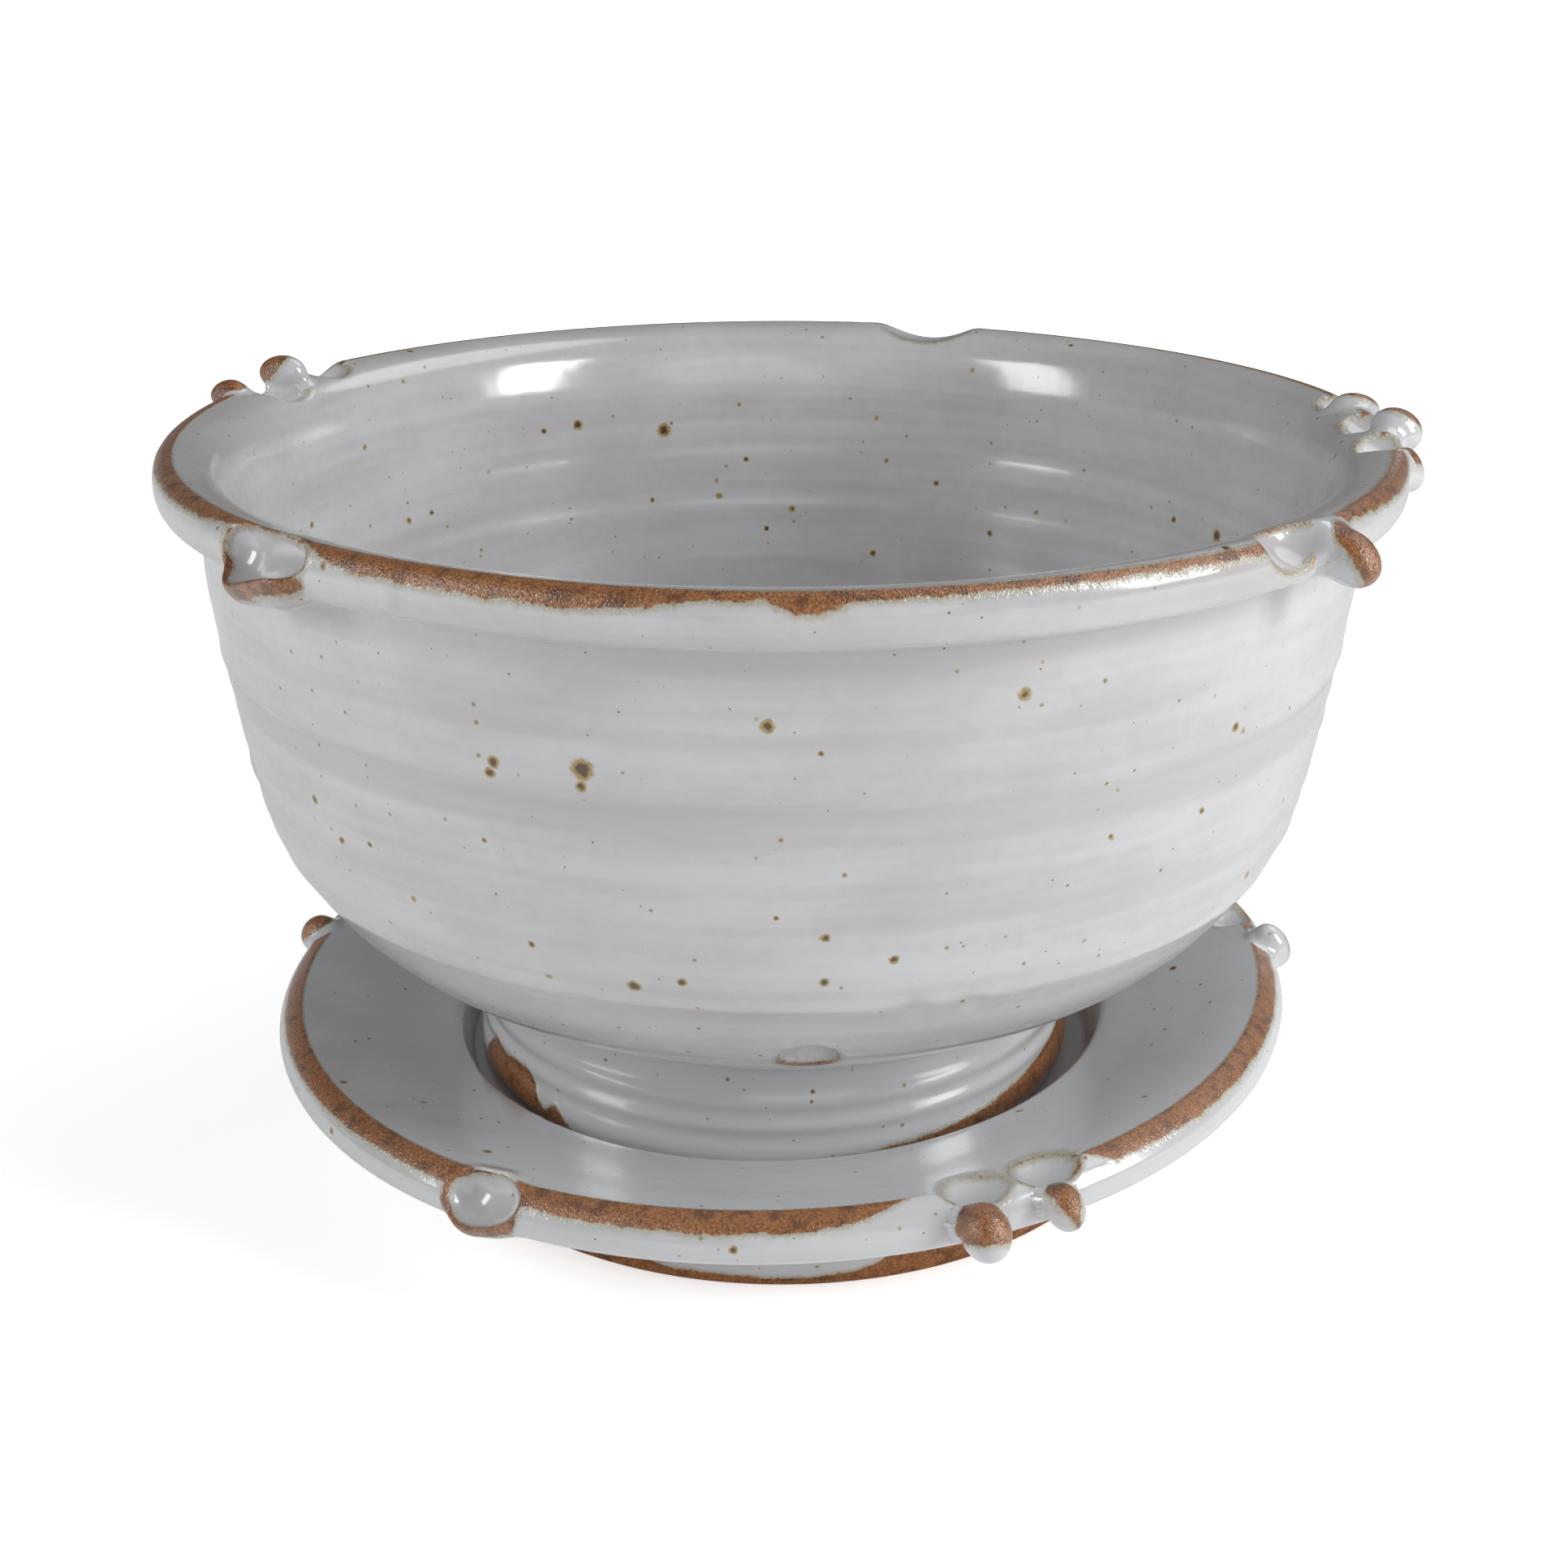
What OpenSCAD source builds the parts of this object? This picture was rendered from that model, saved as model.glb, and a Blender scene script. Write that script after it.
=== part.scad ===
// Berry colander bowl on its drip plate, thrown stoneware.
// Origin on the bowl's axis at table level, +Z up, front towards -Y, millimetres.

/* [Bowl] */
// Height of the bowl from the bottom of its foot to the top of its rim
bowl_h = 114.4; // [104:0.2:126]
// Radius of the wall at the neck, just under the rim
neck_r = 95.8; // [90:0.2:104]
// Radius of the wall where it meets the foot
base_r = 53.8; // [52:0.2:58]
// Thickness of the wall
wall_t = 6.3; // [5:0.1:8]
// How far the rolled rim stands outside the neck
rim_proud = 6.6; // [4:0.1:9]
// Height of the rolled rim's rounded band
rim_band_h = 8.4; // [6:0.1:11]
// Height of the plain neck between the wall and the rim's band
neck_h = 2.8; // [2:0.1:5]

/* [Bowl foot] */
// Height of the foot ring under the bowl
foot_h = 20; // [17:0.5:24]
// Widest radius of the foot ring, near its bottom
foot_r = 54.2; // [53.2:0.1:56]
// Width of the foot ring at its top
foot_t = 7.8; // [6:0.1:10]
// How far the throwing rings of the foot draw in
foot_waist = 1.6; // [0.8:0.1:2.5]
// How far off the bowl's axis the foot ring was joined, towards the left
foot_off = 1.5; // [0:0.1:2]

/* [Drain holes] */
// Diameter of the holes low in the wall
drain_d = 8.5; // [7:0.5:10]
// Number of holes low in the wall
drain_n = 12; // [8:1:16]
// Radius of the ring of holes low in the wall
drain_ring_r = 68; // [66:0.5:72]
// Azimuth of the first hole, near the front
drain_start = 271; // [265:1:277]
// Diameter of the holes in the floor
floor_drain_d = 8; // [6:0.5:9]
// Number of holes round the middle one in the floor
floor_drain_n = 6; // [3:1:8]
// Radius of the ring of floor holes
floor_drain_ring_r = 26; // [20:0.5:32]

/* [Drip plate] */
// Height of the plate's rim above the table
plate_h = 28.2; // [26:0.2:32]
// Outermost radius of the plate
plate_r = 91.2; // [86:0.2:98]
// Depth of the plate's rolled edge from top to underside
plate_edge_h = 8.6; // [7:0.1:10]
// Thickness of the well's floor
well_floor_t = 6; // [5:0.1:8]
// How far the well's wall leans out between its floor and its lip
well_splay = 3.1; // [1.5:0.1:6]
// Height of the well's lip above its floor
well_lip_h = 7.4; // [5:0.1:9]
// Slack between the bowl's foot and the foot of the well's wall, where they come nearest
well_slack = 1.6; // [1:0.1:3]
// How far the plate's flange leans up to the right, in degrees
flange_lean = 1.8; // [0:0.1:2]

/* [Plate foot] */
// Height of the plate's foot ring
plate_foot_h = 6.5; // [5:0.5:9]
// Radius of the plate's foot ring at the table
plate_foot_r = 66.2; // [64:0.1:70]
// How much wider the plate's foot ring is at its top
plate_foot_flare = 2.2; // [0.5:0.1:4]
// Width of the plate's foot ring
plate_foot_t = 8.5; // [6:0.1:12]
// Rounding of the arris where the plate's foot meets the table
plate_foot_round = 0.9; // [0.3:0.1:1.5]

/* [Thumb prints and nubs] */
// Radius of the thumb that pressed the rims
thumb_r = 9; // [7:0.1:11]
// How deep the thumb went into a rim
thumb_depth = 3.8; // [2:0.1:5]
// Diameter of the clay pellets on the rims
nub_d = 7.2; // [6:0.1:8]
// Length of the clay pellets on the rims
nub_l = 9; // [8:0.1:10]
// Diameter of the large pellet at the bowl's front right
big_nub_d = 7.4; // [7:0.1:9]
// Length of the large pellet at the bowl's front right
big_nub_l = 10.2; // [9:0.1:12]

/* [Hidden] */

$fn = 96;
over = 1;
well_z = plate_foot_h + well_floor_t;
join_z = well_z + foot_h;
crest_z = well_z + bowl_h;
band_z = crest_z - rim_band_h;
neck_z = band_z - neck_h;
steps = 2;
rim_steps = 3;

// The wall's outer face, from the foot (0, 0) to the neck (1, 1)
wall_shares = [[0, 0], [0.15, 0.052], [0.30, 0.096], [0.46, 0.147], [0.60, 0.21], [0.72, 0.285],
    [0.83, 0.38], [0.89, 0.5], [0.93, 0.625], [0.97, 0.765], [1, 0.9], [1, 1]];
// The rim's round, as shares of its overhang and its band
rim_shares = [[0.03, -0.06], [0.55, 0], [0.90, 0.20], [1, 0.48], [0.95, 0.80], [0.74, 0.985],
    [0.45, 1], [-0.10, 0.89], [-0.50, 0.67], [-0.78, 0.30]];
// The foot's outer face, as shares of its waist and its height, from the bowl down
foot_shares = [[0.9, 1], [1.1, 0.92], [1, 0.78], [0.6, 0.68], [0.75, 0.56], [0.4, 0.46], [0.5, 0.36],
    [0.1, 0.25], [0, 0.14], [0.4, 0.05], [1.4, 0]];

// A point on the smooth curve through a, b, c and d, at the share t of the way from b to c
function bend(a, b, c, d, t) =
    (2 * b + (c - a) * t + (2 * a - 5 * b + 4 * c - d) * t * t + (3 * b - a - 3 * c + d) * t * t * t) / 2;
// The smooth curve through the points p, with n steps from each to the next
function curve(p, n) = [
    for (i = [0 : len(p) - 2]) for (k = [0 : n - 1])
        bend(p[max(i - 1, 0)], p[i], p[i + 1], p[min(i + 2, len(p) - 1)], k / n),
    p[len(p) - 1]];
function unit(v) = v / norm(v);
// The curve p moved to its left by d
function beside(p, d) = [
    for (i = [0 : len(p) - 1])
        let (t = unit(p[min(i + 1, len(p) - 1)] - p[max(i - 1, 0)]))
        p[i] + d * [-t[1], t[0]]];
function reversed(p) = [for (i = [len(p) - 1 : -1 : 0]) p[i]];

// The bowl's clay

wall_outer = curve([for (s = wall_shares)
    [base_r + s[0] * (neck_r - base_r), join_z + s[1] * (neck_z - join_z)]], steps);
wall_inner = beside(wall_outer, wall_t);
rim_round = curve([for (s = rim_shares)
    [neck_r + s[0] * rim_proud, band_z + s[1] * rim_band_h]], rim_steps);
floor_z = wall_inner[0][1];

module bowl_blank() {
    rotate_extrude($fn = 180)
        polygon(concat([[0, join_z]], wall_outer, rim_round, reversed(wall_inner), [[0, floor_z]]));
}

// A thumb print across a rim whose crest is at radius r and height z, pressed from outside.
// away moves it out along the radius, big scales the thumb and deep its depth.
module thumb_print(azimuth, r, z, away, big, deep) {
    radius = thumb_r * big;
    reach = radius - thumb_depth * deep;
    out = unit([away, 1]) * reach;
    rotate([0, 0, azimuth])
        translate([r + out[0], 0, z + out[1]])
            sphere(r = radius);
}

// Azimuth, share outwards, size share and depth share of each print in the bowl's rim
bowl_prints = [[226.4, 1.4, 0.85, 1.15], [314, 1, 0.9, 1.1], [351, -0.6, 0.75, 0.8], [359.5, -0.6, 0.75, 0.8],
    [8.5, -0.4, 0.7, 0.75], [72, -0.2, 1.7, 0.75], [151.5, -0.5, 0.7, 0.7], [161, -0.8, 0.9, 0.75]];
crest_r = neck_r + rim_proud * rim_shares[5][0];

module bowl_thumb_prints() {
    for (p = bowl_prints) thumb_print(p[0], crest_r, crest_z, p[1], p[2], p[3]);
}

// The lip of clay that the thumb drove out below the print at the front left
lip_r = thumb_r * 0.62;
module bowl_lip() {
    rotate([0, 0, bowl_prints[0][0]])
        translate([neck_r + rim_proud * 1.45 - lip_r, 0, band_z + rim_band_h * 0.3])
            sphere(r = lip_r);
}

// Unevenness of the hand-drilled ring: degrees along it and share of a hole outwards, hole by hole
drain_turn = [2, -5, -2, 3, -1, 2, -3, 1, 3, -2, 1, -2, 0, 0, 0, 0];
drain_out_shares = [1, -0.2, 0.1, -0.1, 0.3, 0.1, -0.1, 0.2, -0.05, 0.35, 0, -0.4, 0, 0, 0, 0];
function drain_place(i) =
    let (azimuth = drain_start + i * 360 / drain_n + drain_turn[i],
        r = drain_ring_r + drain_out_shares[i] * drain_d)
    [r * cos(azimuth), r * sin(azimuth)];

module drain_holes() {
    for (i = [0 : drain_n - 1])
        translate([drain_place(i)[0], drain_place(i)[1], join_z])
            cylinder(d = drain_d, h = neck_z - join_z, $fn = 48);
    translate([0, 0, join_z - over]) {
        cylinder(d = floor_drain_d, h = neck_z - join_z, $fn = 48);
        for (i = [0 : floor_drain_n - 1])
            rotate([0, 0, i * 360 / floor_drain_n])
                translate([floor_drain_ring_r, 0, 0])
                    cylinder(d = floor_drain_d, h = neck_z - join_z, $fn = 48);
    }
}

module colander_bowl() {
    color([0.83, 0.82, 0.81])
        difference() {
            union() {
                bowl_blank();
                bowl_lip();
            }
            bowl_thumb_prints();
            drain_holes();
        }
}

// The rim's clay near an azimuth, which a pellet pressed on there is cut by
near_turn = 30;
function turn_between(a, b) = abs((a - b + 540) % 360 - 180);
module rim_clay(azimuth) {
    difference() {
        rotate_extrude($fn = 180) polygon(rim_round);
        for (p = bowl_prints) if (turn_between(p[0], azimuth) < near_turn)
            thumb_print(p[0], crest_r, crest_z, p[1], p[2], p[3]);
    }
}

// The foot ring under the bowl, luted on and thrown with three rings

foot_outer = curve([for (s = foot_shares)
    [foot_r - s[0] * foot_waist, well_z + s[1] * foot_h]], steps);
foot_top_r = foot_outer[0][0];
foot_bevel = foot_waist / 2;

module bowl_foot_ring() {
    color([0.80, 0.79, 0.77])
        translate([-foot_off, 0, 0])
            rotate_extrude($fn = 180)
                polygon(concat(foot_outer, [
                    [foot_r - foot_t + foot_bevel, well_z],
                    [foot_r - foot_t, well_z + foot_bevel],
                    [foot_top_r - foot_t, join_z]]));
}

// The clay pellets

// A pellet of length l with its long way out along +X, as a round of revolution
module pellet(l, d) {
    rotate([0, 90, 0])
        rotate_extrude($fn = 48)
            polygon([for (a = [-90 : 15 : 90]) [d / 2 * cos(a), l / 2 * sin(a)]]);
}

// A pellet at an azimuth, with its middle at radius r and height z, tipped down outwards by tip
module placed_pellet(azimuth, r, z, tip, l, d) {
    rotate([0, 0, azimuth])
        translate([r, 0, z])
            rotate([0, tip, 0])
                pellet(l, d);
}

// A pellet on the bowl's rim: out and up are shares of its diameter from the rim's crest
module bowl_nub(azimuth, out, up, tip, l, d) {
    color([0.62, 0.42, 0.30])
        difference() {
            placed_pellet(azimuth, crest_r + out * d, crest_z + up * d, tip, l, d);
            rim_clay(azimuth);
        }
}

module bowl_nub_front_right() bowl_nub(319.3, 0.46, -0.66, 28, big_nub_l, big_nub_d);
module bowl_nub_right_front() bowl_nub(349, 0.25, -0.75, 60, nub_l * 0.82, nub_d * 0.73);
module bowl_nub_right_middle() bowl_nub(357.5, 0.22, -0.12, 25, nub_l, nub_d);
module bowl_nub_right_back() bowl_nub(7.3, -0.05, -0.18, 9, nub_l, nub_d * 0.8);
module bowl_nub_left_back() bowl_nub(157.3, -0.05, 0.09, 7, nub_l * 1.05, nub_d * 0.86);
module bowl_nub_left_front() bowl_nub(166.1, 0.42, -0.1, 24, nub_l * 0.72, nub_d * 0.6);

// The drip plate: a level floor, and a flange that leans a little

plate_crest_in = plate_edge_h * 0.5;
plate_crest_r = plate_r - plate_crest_in;
well_foot_r = foot_r + foot_off + well_slack;
well_r = well_foot_r + well_splay;
land_r = plate_foot_r + plate_foot_flare;
root_z = plate_foot_h + well_floor_t * 0.5;
lip_z = well_z + well_lip_h;
edge_z = plate_h - plate_edge_h;
underside_shares = [[1, 0], [0.8, -0.04], [0.6, -0.14], [0.4, -0.34], [0.2, -0.66], [0.04, -0.88],
    [-0.1, -1]];

flange_top = curve([
    [well_foot_r, root_z],
    [well_foot_r + well_splay * 0.35, well_z + well_lip_h * 0.55],
    [well_foot_r + well_splay * 0.6, lip_z - well_lip_h * 0.12],
    [well_r, lip_z],
    [well_r + (plate_crest_r - well_r) * 0.25, lip_z + (plate_h - lip_z) * 0.24],
    [well_r + (plate_crest_r - well_r) * 0.75, lip_z + (plate_h - lip_z) * 0.76],
    [plate_crest_r, plate_h]], steps);
flange_edge = curve([
    [plate_crest_r, plate_h],
    [plate_crest_r + plate_crest_in * 0.55, plate_h - plate_edge_h * 0.12],
    [plate_r - plate_crest_in * 0.08, plate_h - plate_edge_h * 0.33],
    [plate_r, plate_h - plate_edge_h * 0.55],
    [plate_r - plate_crest_in * 0.2, plate_h - plate_edge_h * 0.82],
    [plate_r - plate_crest_in * 0.8, edge_z]], rim_steps);
flange_under = curve([for (s = underside_shares)
    [land_r + s[0] * (plate_r - plate_crest_in * 0.8 - land_r), edge_z + s[1] * (edge_z - root_z)]], steps);

// Azimuth, share outwards, size share and depth share of each print in the plate's rim
plate_prints = [[240.2, 1.2, 0.72, 1], [290, -0.3, 0.8, 0.8], [298, -0.4, 0.8, 0.8], [7.5, -0.3, 0.8, 0.8]];

// The flange as it is before it leans
module level_flange() {
    difference() {
        rotate_extrude($fn = 180) polygon(concat(flange_top, flange_edge, flange_under));
        for (p = plate_prints) thumb_print(p[0], plate_crest_r, plate_h, p[1], p[2], p[3]);
    }
}

// Leans the flange, and what is pressed on it, about the middle of the well's floor
module lean() {
    translate([0, 0, well_z])
        rotate([0, -flange_lean, 0])
            translate([0, 0, -well_z])
                children();
}

module drip_plate() {
    color([0.78, 0.77, 0.75])
        union() {
            lean() level_flange();
            translate([0, 0, plate_foot_h])
                cylinder(r = land_r, h = well_floor_t, $fn = 180);
        }
}

// The plate's foot ring, luted under the well

module plate_foot_ring() {
    color([0.66, 0.47, 0.33])
        rotate_extrude($fn = 180)
            polygon([
                [plate_foot_r - plate_foot_t + plate_foot_round, 0],
                [plate_foot_r - plate_foot_round, 0],
                [plate_foot_r, plate_foot_round],
                [land_r, plate_foot_h],
                [land_r - plate_foot_t - plate_foot_flare, plate_foot_h],
                [plate_foot_r - plate_foot_t, plate_foot_round]]);
}

// A pellet on the plate's rim: out and up are shares of its diameter from the rim's crest
module plate_nub(azimuth, out, up, tip, l, d) {
    color([0.60, 0.38, 0.24])
        lean() difference() {
            placed_pellet(azimuth, plate_crest_r + out * d, plate_h + up * d, tip, l, d);
            level_flange();
        }
}

module plate_nub_front_left() plate_nub(288.9, 0.93, -0.47, 45, nub_l, nub_d * 1.05);
module plate_nub_front_right() plate_nub(297.2, 1.1, -0.56, 45, nub_l * 0.82, nub_d * 0.83);
module plate_nub_right() plate_nub(359.4, 0.68, -0.31, 60, nub_l, nub_d * 0.85);
module plate_nub_left() plate_nub(170, 0.6, -0.3, 50, nub_l * 0.85, nub_d * 0.85);

colander_bowl();
bowl_foot_ring();
bowl_nub_front_right();
bowl_nub_right_front();
bowl_nub_right_middle();
bowl_nub_right_back();
bowl_nub_left_back();
bowl_nub_left_front();
drip_plate();
plate_foot_ring();
plate_nub_front_left();
plate_nub_front_right();
plate_nub_right();
plate_nub_left();
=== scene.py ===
# Berry colander bowl standing in the well of its drip plate, thrown stoneware.
# Sizes in the dictionaries are millimetres; a mesh is scaled to metres when it is finished.
import math

import bmesh
import bpy
import numpy as np
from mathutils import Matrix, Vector


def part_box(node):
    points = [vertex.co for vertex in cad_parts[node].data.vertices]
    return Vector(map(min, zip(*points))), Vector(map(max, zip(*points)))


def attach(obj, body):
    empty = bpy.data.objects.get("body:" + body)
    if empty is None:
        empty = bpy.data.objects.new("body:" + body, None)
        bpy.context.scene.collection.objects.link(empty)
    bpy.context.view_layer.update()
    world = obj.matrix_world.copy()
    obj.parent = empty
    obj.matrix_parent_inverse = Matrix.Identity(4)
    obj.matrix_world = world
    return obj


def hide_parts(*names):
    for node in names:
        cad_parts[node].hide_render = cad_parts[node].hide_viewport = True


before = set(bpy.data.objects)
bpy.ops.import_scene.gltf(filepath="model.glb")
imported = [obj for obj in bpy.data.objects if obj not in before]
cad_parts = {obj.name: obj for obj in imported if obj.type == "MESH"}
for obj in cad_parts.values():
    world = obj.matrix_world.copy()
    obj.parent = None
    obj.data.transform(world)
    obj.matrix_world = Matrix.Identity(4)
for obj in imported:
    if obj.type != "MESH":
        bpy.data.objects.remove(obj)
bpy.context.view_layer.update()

mm = 0.001


def boxOf(node):
    low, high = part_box(node)
    return np.array(low) / mm, np.array(high) / mm


def inScene(name, data):
    thing = bpy.data.objects.new(name, data)
    bpy.context.scene.collection.objects.link(thing)
    return thing


# Camera, at the photograph's place
cameraView = {"place": (0.0004, -0.3492, 0.2010), "tilt": 68.13, "lens": 48.07}


def setCamera():
    data = bpy.data.cameras.new("camera")
    data.lens, data.sensor_width = cameraView["lens"], 36
    data.clip_start, data.clip_end = 0.01, 50
    camera = inScene("camera", data)
    camera.location = cameraView["place"]
    camera.rotation_euler = (math.radians(cameraView["tilt"]), 0, 0)
    bpy.context.scene.camera = camera


setCamera()
print("camera set")


# Outlines

def smoothLine(points, steps=8):
    # a smooth curve through the points, the same kind as in the solids
    p = np.array(points, float)
    p = np.vstack([p[:1], p, p[-1:]])
    t = (np.arange(steps) / steps)[:, None]
    parts = [(2 * b + (c - a) * t + (2 * a - 5 * b + 4 * c - d) * t ** 2
              + (3 * b - a - 3 * c + d) * t ** 3) / 2
             for a, b, c, d in zip(p[:-3], p[1:-2], p[2:-1], p[3:])]
    return np.vstack(parts + [p[-1:]])


def beside(points, distance):
    # a line moved to its left
    along = np.gradient(points, axis=0)
    along /= np.linalg.norm(along, axis=1)[:, None]
    return points + distance * np.column_stack([-along[:, 1], along[:, 0]])


def evenly(spacing):
    return lambda r, z: np.full(len(r), spacing)


def spaced(points, spacingAt, fineStep=0.1):
    # points along a line, as close as spacingAt(r, z) asks
    points = np.array(points, float)
    run = np.concatenate([[0], np.cumsum(np.linalg.norm(np.diff(points, axis=0), axis=1))])
    at = np.arange(0, run[-1], fineStep)
    fine = np.column_stack([np.interp(at, run, points[:, k]) for k in (0, 1)])
    count = np.concatenate([[0], np.cumsum(fineStep / spacingAt(fine[:-1, 0], fine[:-1, 1]))])
    at = np.linspace(0, count[-1], round(count[-1]) + 1)
    return np.column_stack([np.interp(at, count, fine[:, k]) for k in (0, 1)])


# Clay: a form is a function that gives each point's distance from its skin, negative inside

def outlineDistance(r, z, outline):
    best = np.full(len(r), np.inf)
    inside = np.zeros(len(r), bool)
    for (ar, az), (br, bz) in zip(outline, np.roll(outline, -1, axis=0)):
        er, ez = br - ar, bz - az
        t = np.clip(((r - ar) * er + (z - az) * ez) / (er * er + ez * ez + 1e-12), 0, 1)
        best = np.minimum(best, (r - ar - t * er) ** 2 + (z - az - t * ez) ** 2)
        if ez:
            inside ^= ((az > z) != (bz > z)) & (r < ar + (z - az) / ez * er)
    return np.where(inside, -1, 1) * np.sqrt(best)


def outlineForm(outline, step=0.2, margin=6):
    # the form of a turned outline, looked up in a fine grid
    low, high = outline.min(0) - margin, outline.max(0) + margin
    rows, columns = np.arange(low[0], high[0], step), np.arange(low[1], high[1], step)
    r, z = np.meshgrid(rows, columns, indexing="ij")
    grid = outlineDistance(r.ravel(), z.ravel(), outline).reshape(r.shape)

    def form(p):
        u = np.clip((np.hypot(p[:, 0], p[:, 1]) - low[0]) / step, 0, len(rows) - 1.001)
        v = np.clip((p[:, 2] - low[1]) / step, 0, len(columns) - 1.001)
        i, j = u.astype(int), v.astype(int)
        u, v = u - i, v - j
        return ((grid[i, j] * (1 - u) + grid[i + 1, j] * u) * (1 - v)
                + (grid[i, j + 1] * (1 - u) + grid[i + 1, j + 1] * u) * v)

    return form


def softJoin(a, b, k):
    h = np.clip(0.5 + 0.5 * (b - a) / k, 0, 1)
    return b + (a - b) * h - k * h * (1 - h)


def softCut(a, b, k):
    # form a without form b
    return -softJoin(-a, b, k)


def around(azimuth, r, z):
    a = math.radians(azimuth)
    return np.array([r * math.cos(a), r * math.sin(a), z])


def barDistance(p, ends, radius, taper=0.0):
    # a bar with round ends, thinner by the share "taper" at its second one; a ball where both are the same
    along = ends[1] - ends[0]
    t = np.clip((p - ends[0]) @ along / max(along @ along, 1e-9), 0, 1)
    return np.linalg.norm(p - ends[0] - t[:, None] * along, axis=1) - radius * (1 - taper * t)


def settled(p, form, rounds, h=0.02):
    # points moved onto the skin of a form
    for _ in range(rounds):
        d = form(p)
        slope = np.column_stack([(form(p + step) - d) / h for step in np.eye(3) * h])
        p = p - (d / np.maximum((slope ** 2).sum(1), 0.3))[:, None] * slope
    return p


def placesOf(verts):
    return np.array([v.co for v in verts], float).reshape(-1, 3)


def putBack(verts, p):
    for v, co in zip(verts, p):
        v.co = co


def polar(p):
    return np.degrees(np.arctan2(p[:, 1], p[:, 0])) % 360, np.hypot(p[:, 0], p[:, 1])


def alongTurn(azimuth, table):
    # a value that changes round the turn, from (azimuth, value) pairs
    at, values = zip(*sorted(table))
    return np.interp(azimuth % 360, at, values, period=360)


def waves(x, rows):
    # a sum of sines, from (depth, rate, shift) rows
    return sum(depth * np.sin(rate * x + shift) for depth, rate, shift in rows)


def hump(x, middle, height, width):
    return height * np.exp(-((x - middle) / width) ** 2)


def thrown(outline, steps, closed=True):
    # the outline turned round the wheel's axis
    bm = bmesh.new()
    line = [bm.verts.new((r, 0, z)) for r, z in outline]
    edges = [bm.edges.new(pair) for pair in zip(line, line[1:])]
    if closed:
        edges.append(bm.edges.new((line[-1], line[0])))
    bmesh.ops.spin(bm, geom=line + edges, cent=(0, 0, 0), axis=(0, 0, 1), angle=math.tau, steps=steps,
                   use_merge=True, use_duplicate=False)
    bmesh.ops.remove_doubles(bm, verts=bm.verts, dist=0.001)
    bmesh.ops.recalc_face_normals(bm, faces=bm.faces)
    return bm


def refine(bm, near, cuts):
    # finer faces where the clay was pressed
    keep = near(placesOf(bm.verts))
    for v, tag in zip(bm.verts, keep):
        v.tag = bool(tag)
    edges = [e for e in bm.edges if e.verts[0].tag and e.verts[1].tag]
    bmesh.ops.subdivide_edges(bm, edges=edges, cuts=cuts, use_grid_fill=True)


def smoothed(bm, verts):
    bmesh.ops.smooth_vert(bm, verts=verts, factor=0.5, use_axis_x=True, use_axis_y=True, use_axis_z=True)


def pressInto(bm, formAt, near, stages=8, relax=6):
    # pushes the clay onto the form in small stages, and keeps its points evenly spread
    keep = near(placesOf(bm.verts))
    verts = [v for v, tag in zip(bm.verts, keep) if tag]
    for stage in range(1, stages + 1):
        def form(p):
            return formAt(p, stage / stages)

        for _ in range(relax if stage == stages else 2):
            putBack(verts, settled(placesOf(verts), form, 2))
            smoothed(bm, verts)
        putBack(verts, settled(placesOf(verts), form, 3))


pieces = {}


def finished(name, node, bm, body, marks, bend=None):
    # makes the mesh an object that stands for its solid; marks are values for its material, point by point
    p = placesOf(bm.verts)
    values = {key: mark(p) for key, mark in marks.items()}
    if bend:
        p = bend(p)
    putBack(bm.verts, p * mm)
    for f in bm.faces:
        f.smooth = True
    mesh = bpy.data.meshes.new(name)
    bm.to_mesh(mesh)
    bm.free()
    for key, value in values.items():
        mesh.attributes.new(key, "FLOAT", "POINT").data.foreach_set("value", value.astype(np.float32))
    piece = inScene(name, mesh)
    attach(piece, body)
    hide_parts(node)
    pieces[name] = piece
    mesh.calc_loop_triangles()
    print(name, len(mesh.loop_triangles), "triangles")


# The bowl

footLow, footHigh = boxOf("bowl_foot_ring")
bowl = {
    "neckRadius": 95.8, "baseRadius": 53.8, "wall": 6.3, "rimProud": 6.6, "bandHeight": 8.4,
    "neckHeight": 2.8, "joinZ": boxOf("colander_bowl")[0][2], "crestZ": 126.9, "steps": 360,
    "wallShares": [(0, 0), (0.15, 0.052), (0.30, 0.096), (0.46, 0.147), (0.60, 0.21), (0.72, 0.285),
                   (0.83, 0.38), (0.89, 0.5), (0.93, 0.625), (0.97, 0.765), (1, 0.9), (1, 1)],
    "rimShares": [(0.03, -0.06), (0.55, 0), (0.90, 0.20), (1, 0.48), (0.95, 0.80), (0.74, 0.985), (0.45, 1),
                  (-0.10, 0.89), (-0.50, 0.67), (-0.78, 0.30)],
    # the line thrown round the wall: its height by azimuth, and how deep the one below it is
    "lineHeights": [(60, 95.5), (203, 94.4), (240, 95.2), (257, 95.2), (272, 95.5), (290, 94.4), (302, 94),
                    (320, 94)],
    "secondLine": [(180, 0.5), (215, 0.6), (232, 1), (258, 0.9), (268, 0.3), (285, 0.2), (302, 0.7),
                   (330, 0.5)],
    # prints are pressed above this height; how far the corner under the rim is rounded, and how many times
    "pressFrom": 104, "cornerReach": 1.5, "cornerRounds": 6,
    # how close the rows of points lie on each part
    "rows": {"floor": 5.0, "wall": 2.2, "rim": 2.0, "floorHoles": 1.6, "line": 0.75, "roll": 0.95,
             "crease": 0.4, "bore": 0.5},
}
rimCrest = (bowl["neckRadius"] + 0.74 * bowl["rimProud"], bowl["crestZ"])
bandZ = bowl["crestZ"] - bowl["bandHeight"]
neckZ = bandZ - bowl["neckHeight"]

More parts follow.
